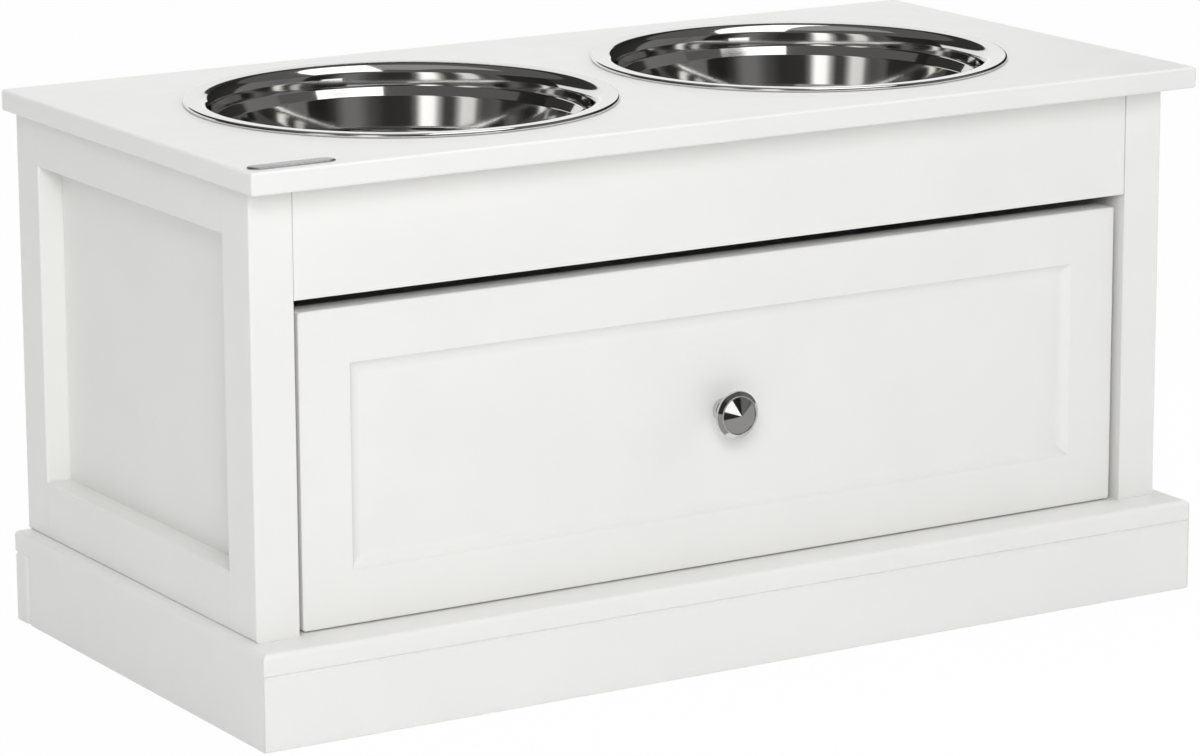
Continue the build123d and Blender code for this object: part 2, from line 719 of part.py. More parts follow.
def left_channel():
    """Runner on the side frame: a channel open to the drawer, stopped at the rear."""
    inner = -x_web + channel_reach
    y_flanges = y_front_roller + roller_r + channel_front_gap
    y_end = y_channel_stop + runner_sheet
    z = (z_channel, z_channel_top)
    channel = block((-x_frame_in, -x_web), (y_front_roller - channel_front_tail, y_end), z)
    channel += block((-x_web, inner), (y_flanges, y_end), (z_channel, z_channel + runner_sheet))
    channel += block((-x_web, inner), (y_flanges, y_end), (z_channel_top - runner_sheet, z_channel_top))
    channel += block((-x_web, inner), (y_channel_stop, y_end), z)
    y_open = y_rear_roller - drawer_travel_length - roller_r - roller_play
    stop_z = (z_channel, z_channel + runner_sheet + stop_height)
    channel += block((-x_web, -x_web + stop_reach), (y_open - runner_sheet, y_open), stop_z)
    channel -= drill(Vector(-x_frame_in, y_front_roller, z_front_roller), right, axle_r, runner_sheet)
    for seat in channel_screw_seats(-1):
        channel -= drill(seat, left, screw_r, runner_sheet)
    return channel


def left_angle():
    """Runner on the drawer side: a shelf below it, a web, and a flange over the front roller."""
    y_start = y_drawer_joint + angle_front_gap
    z_shelf = z_drawer_box - runner_sheet
    y_tail = y_rear_roller + angle_tail_length
    angle = block((-x_angle, -x_drawer_side), (y_start, y_tail), (z_shelf, z_flange + runner_sheet))
    shelf_x = (-x_drawer_side, -x_drawer_side + angle_shelf_width)
    angle += block(shelf_x, (y_start, y_drawer_rear), (z_shelf, z_drawer_box))
    flange_x = (-x_frame_in + angle_flange_gap, -x_angle)
    angle += block(flange_x, (y_start, y_drawer_rear), (z_flange, z_flange + runner_sheet))
    angle -= drill(Vector(-x_drawer_side, y_rear_roller, z_rear_roller), left, axle_r, runner_sheet)
    for seat in angle_screw_seats(-1):
        angle -= drill(seat, right, screw_r, runner_sheet)
    return angle


def axle(start, direction):
    """Riveted axle from the back of its web: tail, shoulder, journal and head."""
    near = (runner_space - runner_sheet * 2 - roller_width) / 2 + runner_sheet - axle_end_play
    far = near + roller_width + 2 * axle_end_play
    end = far + axle_head_thick
    points = [(0, 0), (axle_r, 0), (axle_r, runner_sheet), (axle_shoulder_r, runner_sheet)]
    points += [(axle_shoulder_r, near), (axle_r, near), (axle_r, far)]
    points += [(axle_head_r, far), (axle_head_r, end), (0, end)]
    return turned(points, start, direction)


def left_roller(y, z):
    """Plastic roller with softened edges, bored for its axle."""
    half = roller_width / 2
    inner = axle_r + axle_play
    points = [(inner, -half), (roller_r - roller_ease, -half), (roller_r, roller_ease - half)]
    points += [(roller_r, half - roller_ease), (roller_r - roller_ease, half), (inner, half)]
    return turned(points, Vector(-x_roller, y, z), right)


# ---- Assembly ----


def paired(pieces):
    """Name the left pieces and their mirror images."""
    named = {}
    for name, piece in pieces.items():
        named["left_" + name] = piece
        named["right_" + name] = mirrored(piece)
    return named


def frame_pieces():
    frame = left_frame()
    return paired(
        {
            "front_stile": left_front_stile(frame),
            "rear_stile": left_rear_stile(frame),
            "top_rail": left_top_rail(frame),
            "bottom_rail": left_bottom_rail(frame),
            "side_panel": left_side_panel(),
        }
    )


def cabinet_pieces():
    return {
        "top_board": top_board(),
        "front_apron": front_apron(),
        "back_panel": back_panel(),
        "base_board": base_board(),
        "plinth_front": plinth_front(),
        "plinth_rear": plinth_rear(),
        "plinth_blocks": plinth_blocks(),
    } | paired({"plinth_side": left_plinth(), "cabinet_runner": left_channel()})


def drawer_pieces():
    return {
        "drawer_front": drawer_front(),
        "drawer_back": drawer_back(),
        "drawer_bottom": drawer_bottom(),
        "drawer_knob": drawer_knob(),
        "knob_screw": knob_screw(),
    } | paired({"drawer_side": left_drawer_side(), "drawer_runner": left_angle()})


def roller_pieces():
    front_axle = axle(Vector(-x_frame_in, y_front_roller, z_front_roller), right)
    rear_axle = axle(Vector(-x_drawer_side, y_rear_roller, z_rear_roller), left)
    rollers = {
        "front_roller": left_roller(y_front_roller, z_front_roller),
        "rear_roller": left_roller(y_rear_roller, z_rear_roller),
    }
    axles = {"front_axles": both_sides([front_axle]), "rear_axles": both_sides([rear_axle])}
    return paired(rollers) | axles


def carcass_fasteners():
    bolts = [cam_bolt(seat, down, cam_drop) for seat in top_bolt_seats(-1)]
    cams = [cam_lock(cam_face(seat), left, up, cam_thick) for seat in top_bolt_seats(-1)]
    drop = top_dowel_length / 2 - top_dowel_depth
    top_dowels = [dowel(seat + down * drop, up, top_dowel_length) for seat in top_dowel_seats(-1)]
    apron_dowels = [dowel(seat, right, dowel_length) for seat in apron_dowel_seats(-1)]
    screws = [carcass_screw(seat) for seat in carcass_screw_seats(-1)]
    runner_screws = [runner_screw(seat, left, runner_screw_length) for seat in channel_screw_seats(-1)]
    return {
        "top_cam_bolts": both_sides(bolts),
        "top_cams": both_sides(cams),
        "top_dowels": both_sides(top_dowels),
        "apron_dowels": both_sides(apron_dowels),
        "base_screws": both_sides(screws),
        "cabinet_runner_screws": both_sides(runner_screws),
    }


def runner_screw(seat, direction, length):
    return screw(seat, direction, length, screw_r, screw_head_r, screw_head_thick)


def drawer_fasteners():
    bolt = cam_bolt(drawer_bolt_seat(-1), back, drawer_cam_setback)
    cam = cam_lock(drawer_cam_face(-1), left, front, drawer_cam_thick)
    shift = drawer_dowel_length / 2 - drawer_dowel_depth
    dowels = [dowel(seat + back * shift, back, drawer_dowel_length) for seat in drawer_dowel_seats(-1)]
    runner_screws = [runner_screw(seat, right, angle_screw_length) for seat in angle_screw_seats(-1)]
    sunk = right * drawer_back_screw_sink
    length = drawer_back_screw_length - drawer_back_screw_sink
    back_screws = [runner_screw(seat + sunk, right, length) for seat in drawer_back_screw_seats(-1)]
    return {
        "drawer_cam_bolts": both_sides([bolt]),
        "drawer_cams": both_sides([cam]),
        "drawer_dowels": both_sides(dowels),
        "drawer_runner_screws": both_sides(runner_screws),
        "drawer_back_screws": both_sides(back_screws),
    }


def bowl_pieces():
    return {"left_bowl": bowl(-x_bowl), "right_bowl": bowl(x_bowl)}


def write(name, piece):
    """One file per sub-part; a list becomes a group of separate solids."""
    shape = Compound(children=piece) if isinstance(piece, list) else piece
    export_step(shape, "parts/" + name + ".step")


def main():
    os.makedirs("parts", exist_ok=True)
    pieces = frame_pieces() | cabinet_pieces() | bowl_pieces() | drawer_pieces()
    pieces |= roller_pieces() | carcass_fasteners() | drawer_fasteners()
    for name, piece in pieces.items():
        write(name, piece)


main()
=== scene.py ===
import json
import math

import bmesh
import bpy
from mathutils import Euler, Matrix, Vector

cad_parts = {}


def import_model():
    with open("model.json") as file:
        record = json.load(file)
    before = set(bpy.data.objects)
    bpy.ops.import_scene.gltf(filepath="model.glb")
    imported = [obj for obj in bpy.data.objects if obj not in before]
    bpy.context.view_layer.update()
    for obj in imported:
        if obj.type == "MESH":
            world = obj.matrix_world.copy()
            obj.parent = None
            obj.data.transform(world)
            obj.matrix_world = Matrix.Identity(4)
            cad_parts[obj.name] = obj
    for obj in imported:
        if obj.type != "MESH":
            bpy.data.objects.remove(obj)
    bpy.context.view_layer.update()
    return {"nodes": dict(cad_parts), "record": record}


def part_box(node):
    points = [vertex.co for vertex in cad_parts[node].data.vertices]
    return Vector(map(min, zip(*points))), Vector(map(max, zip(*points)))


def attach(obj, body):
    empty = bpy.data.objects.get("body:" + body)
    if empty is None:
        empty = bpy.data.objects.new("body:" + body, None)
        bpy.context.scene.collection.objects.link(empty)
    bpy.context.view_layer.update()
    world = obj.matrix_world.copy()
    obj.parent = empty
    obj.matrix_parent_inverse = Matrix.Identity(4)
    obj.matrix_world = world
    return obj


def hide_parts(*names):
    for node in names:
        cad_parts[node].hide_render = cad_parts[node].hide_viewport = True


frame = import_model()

# Raised feeding stand with two steel bowls and a drawer. Lengths are in metres unless a name ends
# in _MM, and angles are in degrees. The boards, runners and fasteners are the frame's own, with a
# finish for each material.

MM = 0.001
AXIS_MM = 1e-6  # points nearer the axis than this are on it

# Camera: the place and angles from which the stand's edges line up with the picture
CAMERA_PLACE = (-1.4221, -2.3285, 0.7665)
CAMERA_YAW = -31.33
CAMERA_PITCH = 13.09
CAMERA_ROLL = -0.26
CAMERA_LENS_MM = 148.37
CAMERA_SENSOR_MM = 36.0

# Bowls: the line of the upper surface, as radius and height over the rim, and its rounds
BOWL_LINE_MM = (
    (0, -61.9),
    (97, -61.9),
    (97.2, -36),
    (100.6, -17.7),
    (103.8, -12.3),
    (104.9, -0.6),
    (119, 0),
    (119, -2.47),
    (117.2, -2.47),
)
BOWL_ROUNDS_MM = (10, 20, 2.5, 2.5, 7.5, 1.2, 1.2)
BOWL_SHEET_MM = 0.9
BOWL_SIDES = 256

# Knob, as radius and distance from its seat: foot, flare (an arc through three points) and head
KNOB_FOOT_MM = ((0, 8), (2.05, 8), (2.05, 0), (6.4, 0), (6.4, 3.4), (5.6, 3.6), (5.6, 4.2))
KNOB_FOOT_ROUNDS_MM = (0.1, 0.1, 0.3, 0.5, 0.15)
KNOB_FLARE_MM = ((5.6, 4.2), (7.2, 9.6), (13.0, 14.1))
KNOB_HEAD_MM = (
    (13.0, 14.1),
    (13.2, 14.2),
    (13.2, 15.6),
    (10.8, 17.2),
    (10.8, 17.8),
    (10.3, 17.8),
    (10.3, 17.3),
    (0.4, 19.7),
    (0, 19.7),
)
KNOB_HEAD_ROUNDS_MM = (0.05, 0.45, 0.1, 0.22, 0.22, 0.05, 0.4)
KNOB_SIDES = 160

# Bare plate near the front left corner of the top board; its edge is eased by inset and height
PLATE_MIDDLE = (-0.2707, -0.1365)
PLATE_LENGTH_MM = 50.0
PLATE_WIDTH_MM = 10.0
PLATE_THICK_MM = 1.0
PLATE_EDGE_MM = ((0, -1.0), (0, -0.35), (0.1, -0.13), (0.3, -0.02), (0.5, 0))
PLATE_END_STEPS = 16

# What the steel mirrors: turns round the stand, from -Y towards +X, each with the brightness of
# the room there
ROOM_TURNS = (
    (-140, 0.02),
    (-98, 0.03),
    (-94, 0.12),
    (-84, 0.09),
    (-80, 0.2),
    (-77, 0.9),
    (-70, 0.95),
    (-67, 0.4),
    (-64, 0.07),
    (-58, 0.06),
    (-54, 0.5),
    (-51, 1.4),
    (-44, 1.5),
    (-40, 0.2),
    (-36, 0.04),
    (-20, 0.035),
    (-10, 0.09),
    (-2, 0.2),
    (6, 0.2),
    (14, 0.05),
    (20, 0.02),
    (32, 0.02),
    (34, 0.17),
    (48, 0.19),
    (49, 0.08),
    (50, 0.17),
    (92, 0.2),
    (96, 0.04),
    (140, 0.02),
)
ROOM_RADIUS = 4.0
ROOM_FOOT = -0.1
ROOM_HEIGHT = 3.2
ROOM_STEPS = 72

# The dark band over the pale backdrop behind the stand
BEHIND_TURNS = (140, 220)
BEHIND_HEIGHTS = (1.4, ROOM_HEIGHT)
BEHIND_BRIGHTNESS = 0.04

# Cards over and in front of the stand: name, size, place, angles, brightness
UPPER_CARDS = (
    ("ceiling", (9, 9), (0, 0, ROOM_HEIGHT), (0, 0, 0), 0.12),
    ("skylight", (2.6, 2.6), (0, 0, ROOM_HEIGHT - 0.1), (0, 0, 0), 0.35),
)
FRONT_CARDS = (
    ("front_card", (0.4, 0.44), (0.31, -1.6, 0.225), (90, 0, 12), 1.5),
    ("front_floor", (7.0, 3.8), (0, -2.1, 0.002), (0, 0, 0), 0.4),
    ("front_dark", (0.46, 1.1), (-0.08, -1.11, 0.004), (0, 0, 0), 0.03),
)
CARD_CORNER = 0.02
CARD_CORNER_STEPS = 8
CARD_TINT = (1, 0.985, 0.965)

# The image of the overhead lamp, which is a sheet with four corners
OVERHEAD_CARD = ((-0.6, -1.75), (1.2, -1.75), (1.08, 1.2), (0.72, 1.2))
OVERHEAD_CARD_HEIGHT = 2.4
OVERHEAD_CARD_BRIGHTNESS = 1.9

# Lamps: name, place, size, watts; all are aimed at the middle of the stand
LAMP_TARGET = (0, 0, 0.15)
LAMPS = (
    ("overhead", (0.1, 0.45, 2.5), (2.0, 2.0), 32),
    ("key", (-1.3, -2.15, 1.35), (1.3, 1.2), 36),
    ("fill", (2.6, -0.6, 1.2), (1.6, 1.6), 20.5),
    ("side", (-2.8, 0.3, 0.5), (1.4, 1.0), 1.0),
)
AMBIENT = 0.33

# Floor: the share of pure white in what is seen of it leaves room for a faint shadow
FLOOR_WHITENESS = 0.97
FLOOR_COLOUR = (0.9, 0.9, 0.9)
FLOOR_ROUGHNESS = 0.8
FLOOR_HALF_SIZE = 40
FLOOR_HEIGHT = -0.0005


# ---- Meshes ----


def rounded(points, rounds, steps=8):
    """The points of a line whose inner corners are rounded by the given radii."""
    line = [Vector(points[0])]
    for before, corner, after, radius in zip(points, points[1:], points[2:], rounds):
        corner = Vector(corner)
        back = (Vector(before) - corner).normalized()
        ahead = (Vector(after) - corner).normalized()
        half = back.angle(ahead) / 2
        centre = corner + (back + ahead).normalized() * radius / math.sin(half)
        start = corner + back * radius / math.tan(half) - centre
        end = corner + ahead * radius / math.tan(half) - centre
        turns = [start.slerp(end, i / steps).normalized() for i in range(steps + 1)]
        line += [centre + turn * radius for turn in turns]
    return line + [Vector(points[-1])]


def beside(line, distance):
    """The line moved sideways, to the right of its direction, by a distance."""
    moved = []
    for i, point in enumerate(line):
        along = line[min(i + 1, len(line) - 1)] - line[max(i - 1, 0)]
        moved.append(point + Vector((along.y, -along.x)).normalized() * distance)
    return moved


def arc(start, middle, end, steps=24):
    """Points on the circle through three points, from the first to the last."""
    start, middle, end = Vector(start), Vector(middle), Vector(end)
    chord, other = middle - start, end - start
    cross = 2 * (chord.x * other.y - chord.y * other.x)
    x = (other.y * chord.length_squared - chord.y * other.length_squared) / cross
    y = (chord.x * other.length_squared - other.x * chord.length_squared) / cross
    centre, radius = start + Vector((x, y)), math.hypot(x, y)
    turns = [(start - centre).slerp(end - centre, i / steps).normalized() for i in range(steps + 1)]
    return [centre + turn * radius for turn in turns]


def lathe(name, line, sides):
    """Mesh turned about Z from (radius, height) points in millimetres."""
    mesh = bmesh.new()
    turns = [2 * math.pi * i / sides for i in range(sides)]
    rings = []
    for radius, height in line:
        if radius < AXIS_MM:
            rings.append([mesh.verts.new((0, 0, height * MM))] * sides)
            continue
        ring = [(radius * math.cos(a) * MM, radius * math.sin(a) * MM, height * MM) for a in turns]
        rings.append([mesh.verts.new(place) for place in ring])
    for lower, upper in zip(rings, rings[1:]):
        for i in range(sides):
            j = (i + 1) % sides
            corners = (lower[i], lower[j], upper[j], upper[i])
            mesh.faces.new(list(dict.fromkeys(corners)))
    piece = as_object(name, mesh)
    piece.modifiers.new("even_normals", "WEIGHTED_NORMAL")
    return piece


def as_object(name, mesh, smooth=True):
    """Object of its own from a bmesh, which is freed."""
    bmesh.ops.recalc_face_normals(mesh, faces=mesh.faces)
    data = bpy.data.meshes.new(name)
    mesh.to_mesh(data)
    mesh.free()
    data.polygons.foreach_set("use_smooth", [smooth] * len(data.polygons))
    piece = bpy.data.objects.new(name, data)
    bpy.context.scene.collection.objects.link(piece)
    return piece


def bowl(side):
    """Pressed bowl with its rolled rim, in the place of the frame's own."""
    low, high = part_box(side + "_bowl")
    inner = rounded(BOWL_LINE_MM, BOWL_ROUNDS_MM)
    outer = beside(inner, BOWL_SHEET_MM)
    outer[0].x = 0
    piece = lathe(side + "_bowl_steel", inner + outer[::-1], BOWL_SIDES)
    crown = max(point.y for point in inner) * MM
    piece.location = ((low.x + high.x) / 2, (low.y + high.y) / 2, high.z - crown)
    return piece


def knob():
    """Turned knob: foot, flared neck, and a ring round the cone of its face."""
    low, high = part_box("drawer_knob")
    line = rounded(KNOB_FOOT_MM, KNOB_FOOT_ROUNDS_MM)[:-1] + arc(*KNOB_FLARE_MM)
    line += rounded(KNOB_HEAD_MM, KNOB_HEAD_ROUNDS_MM)[1:]
    piece = lathe("knob_body", line, KNOB_SIDES)
    place = Matrix.Translation(((low.x + high.x) / 2, high.y, (low.z + high.z) / 2))
    piece.matrix_world = place @ Matrix.Rotation(math.radians(90), 4, "X")
    return piece


def plate():
    """Thin bare plate with round ends and a softened upper edge."""
    half = PLATE_WIDTH_MM / 2
    straight = PLATE_LENGTH_MM / 2 - half
    outline = []
    for side, first in ((1, -90), (-1, 90)):
        for i in range(PLATE_END_STEPS + 1):
            a = math.radians(first + 180 * i / PLATE_END_STEPS)
            outline.append((side * straight + half * math.cos(a), half * math.sin(a)))
    mesh = bmesh.new()
    rings = []
    for inset, below in PLATE_EDGE_MM:
        share = 1 - inset / half
        height = (PLATE_THICK_MM + below) * MM
        rings.append([mesh.verts.new((x * share * MM, y * share * MM, height)) for x, y in outline])
    for lower, upper in zip(rings, rings[1:]):
        for i in range(len(lower)):
            j = (i + 1) % len(lower)
            mesh.faces.new((lower[i], lower[j], upper[j], upper[i]))
    mesh.faces.new(rings[0][::-1])
    mesh.faces.new(rings[-1])
    piece = as_object("bare_plate", mesh)
    piece.location = (*PLATE_MIDDLE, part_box("top_board")[1].z)
    return piece


# ---- Materials ----


class Finish:
    """A material with its principled shader and short calls for the nodes that feed it."""

    def __init__(self, name, colour, roughness, metallic=0.0):
        self.material = bpy.data.materials.new(name)
        self.material.use_nodes = True
        self.tree = self.material.node_tree
        self.shader = self.tree.nodes["Principled BSDF"]
        self.set("Base Color", (*colour, 1))
        self.set("Roughness", roughness)
        self.set("Metallic", metallic)
        self.place = self.node("ShaderNodeTexCoord").outputs["Object"]

    def set(self, socket, value):
        self.shader.inputs[socket].default_value = value

    def node(self, kind, **inputs):
        made = self.tree.nodes.new(kind)
        for name, value in inputs.items():
            self.feed(made.inputs[name.replace("_", " ")], value)
        return made

    def feed(self, socket, value):
        if isinstance(value, bpy.types.NodeSocket):
            self.tree.links.new(value, socket)
        else:
            socket.default_value = value

    def link(self, output, socket):
        self.tree.links.new(output, self.shader.inputs[socket])

    def noise(self, cells, detail=3.0, stretch=(1, 1, 1), roughness=0.5, place=None):
        """Noise with so many cells to the metre, in object space or at another place."""
        if place is None:
            place = self.node("ShaderNodeMapping", Vector=self.place, Scale=stretch).outputs[0]
        made = self.node("ShaderNodeTexNoise", Vector=place, Scale=cells, Detail=detail)
        made.inputs["Roughness"].default_value = roughness
        return made.outputs[0]

    def between(self, noise, low, high):
        """Noise, which runs from about 0.3 to 0.7, spread from low to high."""
        made = self.node(
            "ShaderNodeMapRange", Value=noise, From_Min=0.3, From_Max=0.7, To_Min=low, To_Max=high
        )
        return made.outputs["Result"]

    def colours(self, noise, low, high):
        """Noise as a mix of two colours."""
        value = self.between(noise, 0, 1)
        made = self.node("ShaderNodeMix")
        made.data_type = "RGBA"
        self.tree.links.new(value, made.inputs["Factor"])
        made.inputs[6].default_value = (*low, 1)
        made.inputs[7].default_value = (*high, 1)
        return made.outputs[2]

    def bump(self, height, depth_mm, strength=1.0, normal=None):
        """Normal of a surface with this height, laid over another normal if one is given."""
        made = self.node("ShaderNodeBump", Height=height, Distance=depth_mm * MM, Strength=strength)
        if normal is not None:
            self.tree.links.new(normal, made.inputs["Normal"])
        return made.outputs[0]

    def sheen(self, cells, detail, low, high):
        """Roughness that varies from low to high."""
        self.link(self.between(self.noise(cells, detail), low, high), "Roughness")

    def relief(self, cells, detail, depth_mm, strength=1.0):
        """Fine unevenness of the surface."""
        self.link(self.bump(self.noise(cells, detail), depth_mm, strength), "Normal")


def painted_board():
    """White satin lacquer sprayed on fibreboard, with slightly eased edges."""
    finish = Finish("painted_board", (0.84, 0.84, 0.824), 0.42)
    mottle = finish.colours(finish.noise(18, 4), (0.832, 0.831, 0.815), (0.852, 0.85, 0.833))
    finish.link(mottle, "Base Color")
    finish.sheen(60, 3, 0.36, 0.47)
    edge = finish.node("ShaderNodeBevel", Radius=0.5 * MM)
    edge.samples = 4
    peel = finish.bump(finish.noise(650, 2), 0.02, 0.6, edge.outputs[0])
    finish.link(peel, "Normal")
    finish.set("Specular IOR Level", 0.4)
    return finish.material


def bare_board():
    """Raw fibreboard: short matted fibres."""
    finish = Finish("bare_board", (0.6, 0.47, 0.32), 0.9)
    fibres = finish.noise(420, 6, (1, 1, 0.3), 0.7)
    finish.link(finish.colours(fibres, (0.5, 0.37, 0.24), (0.68, 0.55, 0.4)), "Base Color")
    finish.link(finish.bump(fibres, 0.15), "Normal")
    return finish.material


def bowl_steel():
    """Polished steel with the fine rings that spinning and buffing leave."""
    finish = Finish("bowl_steel", (0.7, 0.695, 0.685), 0.06, 1.0)
    parts = finish.node("ShaderNodeSeparateXYZ", Vector=finish.place)
    across = finish.node("ShaderNodeCombineXYZ", X=parts.outputs[0], Y=parts.outputs[1])
    radius = finish.node("ShaderNodeVectorMath")
    radius.operation = "LENGTH"
    finish.tree.links.new(across.outputs[0], radius.inputs[0])
    ring = finish.node("ShaderNodeCombineXYZ", X=radius.outputs["Value"], Y=parts.outputs[2])
    lines = finish.noise(2600, 3, place=ring.outputs[0])
    broad = finish.noise(160, 2, place=ring.outputs[0])
    finish.link(finish.between(lines, 0.035, 0.09), "Roughness")
    fine = finish.bump(lines, 0.0012, 0.7)
    finish.link(finish.bump(broad, 0.01, 0.5, fine), "Normal")
    tangent = finish.node("ShaderNodeTangent")
    tangent.direction_type = "RADIAL"
    tangent.axis = "Z"
    finish.link(tangent.outputs[0], "Tangent")
    finish.set("Anisotropic", 0.4)
    return finish.material


def knob_chrome():
    """Bright plating with the faintest unevenness."""
    finish = Finish("knob_chrome", (0.64, 0.64, 0.645), 0.05, 1.0)
    finish.sheen(900, 2, 0.04, 0.09)
    finish.relief(240, 2, 0.004, 0.4)
    return finish.material


def plate_metal():
    """Satin metal with brushing along its length."""
    finish = Finish("plate_metal", (0.5, 0.5, 0.505), 0.2, 1.0)
    brushed = finish.noise(2500, 2, (0.04, 1, 1))
    finish.link(finish.between(brushed, 0.14, 0.28), "Roughness")
    finish.link(finish.bump(brushed, 0.003, 0.5), "Normal")
    return finish.material


def runner_enamel():
    """White baked enamel on pressed sheet."""
    finish = Finish("runner_enamel", (0.82, 0.82, 0.81), 0.38)
    finish.sheen(220, 3, 0.3, 0.46)
    finish.relief(900, 2, 0.02, 0.5)
    return finish.material


def roller_nylon():
    """Moulded nylon, which lets a little light in."""
    finish = Finish("roller_nylon", (0.86, 0.86, 0.83), 0.45)
    finish.sheen(500, 3, 0.38, 0.52)
    finish.relief(1400, 2, 0.01, 0.5)
    finish.set("Subsurface Weight", 0.15)
    finish.set("Subsurface Scale", 0.002)
    return finish.material


def zinc_steel():
    """Bright zinc with its cloudy crystals."""
    finish = Finish("zinc_steel", (0.66, 0.67, 0.68), 0.32, 1.0)
    cloud = finish.noise(700, 4)
    finish.link(finish.colours(cloud, (0.58, 0.59, 0.6), (0.72, 0.73, 0.74)), "Base Color")
    finish.link(finish.between(cloud, 0.24, 0.42), "Roughness")
    finish.relief(2200, 3, 0.006)
    return finish.material


def zinc_casting():
    """Dull grain of a die casting."""
    finish = Finish("zinc_casting", (0.5, 0.5, 0.5), 0.5, 1.0)
    finish.sheen(900, 4, 0.42, 0.62)
    finish.relief(1500, 4, 0.03)
    return finish.material


def beech():
    """Hardwood with short flecks along the dowel."""
    finish = Finish("beech", (0.66, 0.46, 0.27), 0.6)
    grain = finish.noise(900, 5, (0.15, 0.15, 1), 0.6)
    finish.link(finish.colours(grain, (0.55, 0.36, 0.2), (0.74, 0.55, 0.34)), "Base Color")
    finish.link(finish.bump(grain, 0.05), "Normal")
    return finish.material


# ---- Putting the object together ----


def dress_frame(finishes):
    """Every node of the frame gets the finish of its material slot."""
    for part in frame["record"]["subparts"]:
        node = frame["nodes"][part["node"]]
        node.data.materials.clear()
        node.data.materials.append(finishes[part["material_slot"]])


def place_pieces(finishes):
    for side in ("left", "right"):
        piece = bowl(side)
        piece.data.materials.append(finishes["bowl_steel"])
        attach(piece, side + "_bowl")
        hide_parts(side + "_bowl")
    handle = knob()
    handle.data.materials.append(finishes["knob_chrome"])
    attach(handle, "drawer")
    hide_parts("drawer_knob")
    tag = plate()
    tag.data.materials.append(plate_metal())
    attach(tag, "cabinet")


# ---- Studio ----


def camera():
    """Camera at the picture's place, with a long lens."""
    data = bpy.data.cameras.new("camera")
    data.lens = CAMERA_LENS_MM
    data.sensor_width = CAMERA_SENSOR_MM
    data.clip_end = 100
    made = bpy.data.objects.new("camera", data)
    aim = Euler((math.radians(90 - CAMERA_PITCH), 0, math.radians(CAMERA_YAW))).to_matrix()
    roll = Matrix.Rotation(math.radians(CAMERA_ROLL), 3, "Z")
    made.matrix_world = Matrix.Translation(CAMERA_PLACE) @ (aim @ roll).to_4x4()
    bpy.context.scene.collection.objects.link(made)
    bpy.context.scene.camera = made


def seen_or_mirrored(tree):
    """1 for rays that show a thing directly, in metal or through glass, and 0 for all others."""
    path = tree.nodes.new("ShaderNodeLightPath")
    total = path.outputs["Is Camera Ray"]
    for name in ("Is Glossy Ray", "Is Transmission Ray"):
        add = tree.nodes.new("ShaderNodeMath")
        add.operation = "MAXIMUM"
        tree.links.new(total, add.inputs[0])
        tree.links.new(path.outputs[name], add.inputs[1])
        total = add.outputs[0]
    return total


def world(ambient):
    """White to look at and to mirror, dimmer as a light."""
    made = bpy.data.worlds.new("studio")
    bpy.context.scene.world = made
    made.use_nodes = True
    tree = made.node_tree
    tree.nodes.clear()
    white = tree.nodes.new("ShaderNodeBackground")
    dim = tree.nodes.new("ShaderNodeBackground")
    dim.inputs["Strength"].default_value = ambient
    mix = tree.nodes.new("ShaderNodeMixShader")
    out = tree.nodes.new("ShaderNodeOutputWorld")
    tree.links.new(seen_or_mirrored(tree), mix.inputs[0])
    tree.links.new(dim.outputs[0], mix.inputs[1])
    tree.links.new(white.outputs[0], mix.inputs[2])
    tree.links.new(mix.outputs[0], out.inputs[0])
    for background in (white, dim):
        background.inputs["Color"].default_value = (1, 1, 1, 1)


def floor(whiteness):
    """Pale floor, which keeps a faint shadow of the object."""
    mesh = bmesh.new()
    bmesh.ops.create_grid(mesh, x_segments=1, y_segments=1, size=FLOOR_HALF_SIZE)
    piece = as_object("floor", mesh, smooth=False)
    piece.location.z = FLOOR_HEIGHT
    material = bpy.data.materials.new("floor")
    material.use_nodes = True
    tree = material.node_tree
    shader = tree.nodes["Principled BSDF"]
    shader.inputs["Base Color"].default_value = (*FLOOR_COLOUR, 1)
    shader.inputs["Roughness"].default_value = FLOOR_ROUGHNESS
    glow = tree.nodes.new("ShaderNodeEmission")
    share = tree.nodes.new("ShaderNodeMath")
    share.operation = "MULTIPLY"
    share.inputs[1].default_value = whiteness
    tree.links.new(seen_or_mirrored(tree), share.inputs[0])
    mix = tree.nodes.new("ShaderNodeMixShader")
    tree.links.new(share.outputs[0], mix.inputs[0])
    tree.links.new(shader.outputs[0], mix.inputs[1])
    tree.links.new(glow.outputs[0], mix.inputs[2])
    tree.links.new(mix.outputs[0], tree.nodes["Material Output"].inputs[0])
    piece.data.materials.append(material)


def softbox(name, place, size, watts):
    """Rectangular lamp aimed at the stand; what metal mirrors of it is a card of its own."""
    data = bpy.data.lights.new(name, "AREA")
    data.shape = "RECTANGLE"
    data.size, data.size_y = size
    data.energy = watts
    made = bpy.data.objects.new(name, data)
    made.location = place
    aim = Vector(LAMP_TARGET) - Vector(place)
    made.rotation_euler = aim.to_track_quat("-Z", "Y").to_euler()
    made.visible_glossy = False
    bpy.context.scene.collection.objects.link(made)


def only_mirrored(piece):
    """Part of the room that gives no light and shows only in what mirrors it."""
    piece.visible_camera = False
    piece.visible_diffuse = False
    piece.visible_shadow = False
    piece.visible_transmission = False
    piece.visible_volume_scatter = False


def glowing(name, brightness):
    """Material of an even brightness, with its tree and glow for what varies."""
    material = bpy.data.materials.new(name)
    material.use_nodes = True
    tree = material.node_tree
    tree.nodes.remove(tree.nodes["Principled BSDF"])
    glow = tree.nodes.new("ShaderNodeEmission")
    glow.inputs["Color"].default_value = (*CARD_TINT, 1)
    glow.inputs["Strength"].default_value = brightness
    tree.links.new(glow.outputs[0], tree.nodes["Material Output"].inputs[0])
    return material, tree, glow


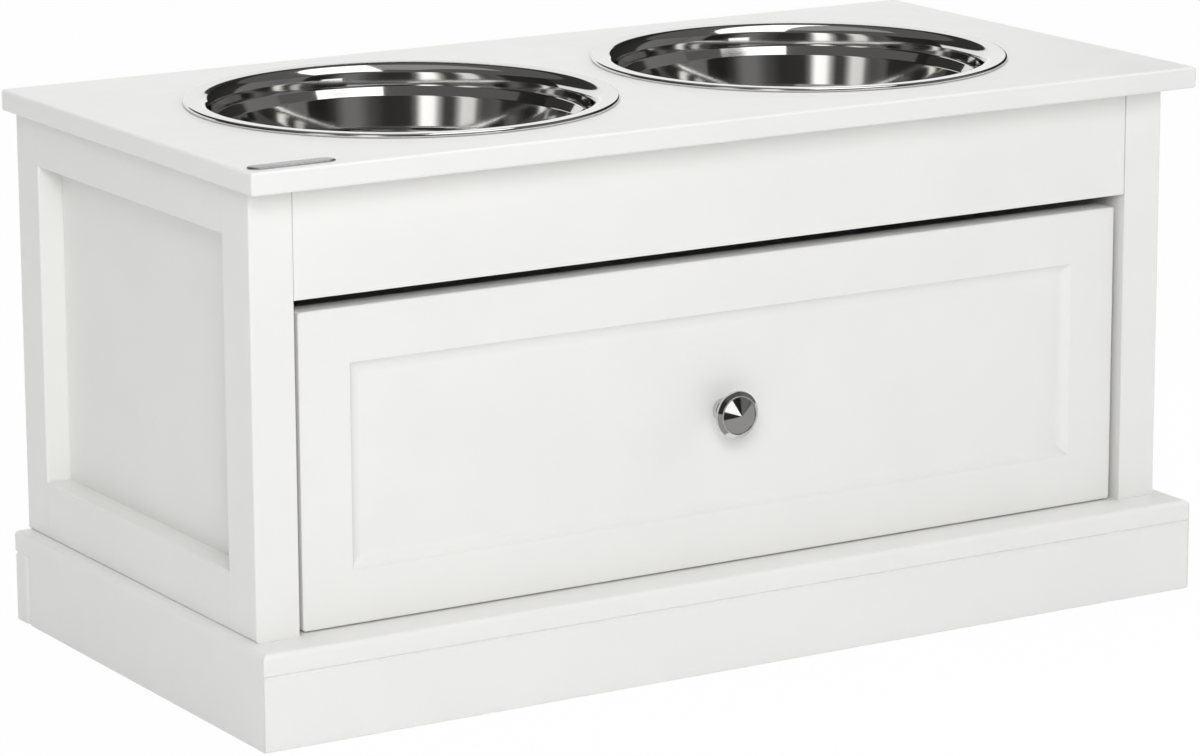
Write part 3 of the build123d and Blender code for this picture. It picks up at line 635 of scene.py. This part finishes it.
def card(name, size, place, angles, brightness):
    """Flat card with rounded corners; it faces both ways."""
    mesh = bmesh.new()
    half = [length / 2 - CARD_CORNER for length in size]
    outline = []
    for i, (x, y) in enumerate(((1, 1), (-1, 1), (-1, -1), (1, -1))):
        for step in range(CARD_CORNER_STEPS + 1):
            turn = math.radians(90 * i + 90 * step / CARD_CORNER_STEPS)
            across = x * half[0] + CARD_CORNER * math.cos(turn)
            outline.append((across, y * half[1] + CARD_CORNER * math.sin(turn), 0))
    mesh.faces.new([mesh.verts.new(point) for point in outline])
    piece = as_object(name, mesh, smooth=False)
    piece.location = place
    piece.rotation_euler = [math.radians(angle) for angle in angles]
    piece.data.materials.append(glowing(name, brightness)[0])
    only_mirrored(piece)


def overhead_card():
    """What the steel shows of the overhead lamp: a four-sided sheet."""
    mesh = bmesh.new()
    mesh.faces.new([mesh.verts.new((x, y, OVERHEAD_CARD_HEIGHT)) for x, y in OVERHEAD_CARD])
    piece = as_object("overhead_card", mesh, smooth=False)
    piece.data.materials.append(glowing("overhead_card", OVERHEAD_CARD_BRIGHTNESS)[0])
    only_mirrored(piece)


def band(name, turns, heights):
    """Upright band round the stand between two turns and two heights."""
    mesh = bmesh.new()
    columns = []
    for i in range(ROOM_STEPS + 1):
        turn = math.radians(turns[0] + (turns[1] - turns[0]) * i / ROOM_STEPS)
        x, y = ROOM_RADIUS * math.sin(turn), -ROOM_RADIUS * math.cos(turn)
        columns.append([mesh.verts.new((x, y, z)) for z in heights])
    for (a, b), (c, d) in zip(columns, columns[1:]):
        mesh.faces.new((a, c, d, b))
    return as_object(name, mesh, smooth=False)


def room():
    """Dim room with its bright windows, whose brightness goes by the turn round the stand."""
    piece = band("room", (ROOM_TURNS[0][0], ROOM_TURNS[-1][0]), (ROOM_FOOT, ROOM_HEIGHT))
    material, tree, glow = glowing("room", 1.0)
    place = tree.nodes.new("ShaderNodeTexCoord")
    turned = tree.nodes.new("ShaderNodeMapping")
    turned.inputs["Rotation"].default_value[2] = math.radians(90)
    around = tree.nodes.new("ShaderNodeTexGradient")
    around.gradient_type = "RADIAL"
    ramp = tree.nodes.new("ShaderNodeValToRGB")
    stops = ramp.color_ramp.elements
    while len(stops) < len(ROOM_TURNS):
        stops.new(0.5)
    brightest = max(brightness for _, brightness in ROOM_TURNS)
    for stop, (turn, brightness) in zip(stops, ROOM_TURNS):
        stop.position = 0.5 + turn / 360
        stop.color = (*[brightness / brightest] * 3, 1)
    scale = tree.nodes.new("ShaderNodeMath")
    scale.operation = "MULTIPLY"
    scale.inputs[1].default_value = brightest
    tree.links.new(place.outputs["Object"], turned.inputs["Vector"])
    tree.links.new(turned.outputs[0], around.inputs["Vector"])
    tree.links.new(around.outputs["Fac"], ramp.inputs[0])
    tree.links.new(ramp.outputs["Color"], scale.inputs[0])
    tree.links.new(scale.outputs[0], glow.inputs["Strength"])
    piece.data.materials.append(material)
    only_mirrored(piece)


def room_behind():
    """Dark band that the steel shows over the backdrop."""
    piece = band("room_behind", BEHIND_TURNS, BEHIND_HEIGHTS)
    piece.data.materials.append(glowing("room_behind", BEHIND_BRIGHTNESS)[0])
    only_mirrored(piece)


def studio():
    """Light, floor and what the metal mirrors."""
    world(AMBIENT)
    floor(FLOOR_WHITENESS)
    for lamp in LAMPS:
        softbox(*lamp)
    room()
    room_behind()
    for upper in UPPER_CARDS:
        card(*upper)
    overhead_card()
    for front in FRONT_CARDS:
        card(*front)


FINISHES = (
    painted_board,
    bare_board,
    bowl_steel,
    knob_chrome,
    runner_enamel,
    roller_nylon,
    zinc_steel,
    zinc_casting,
    beech,
)

finishes = {make.__name__: make() for make in FINISHES}
camera()
dress_frame(finishes)
place_pieces(finishes)
studio()
bpy.context.scene.view_settings.view_transform = "Standard"

bpy.context.view_layer.update()
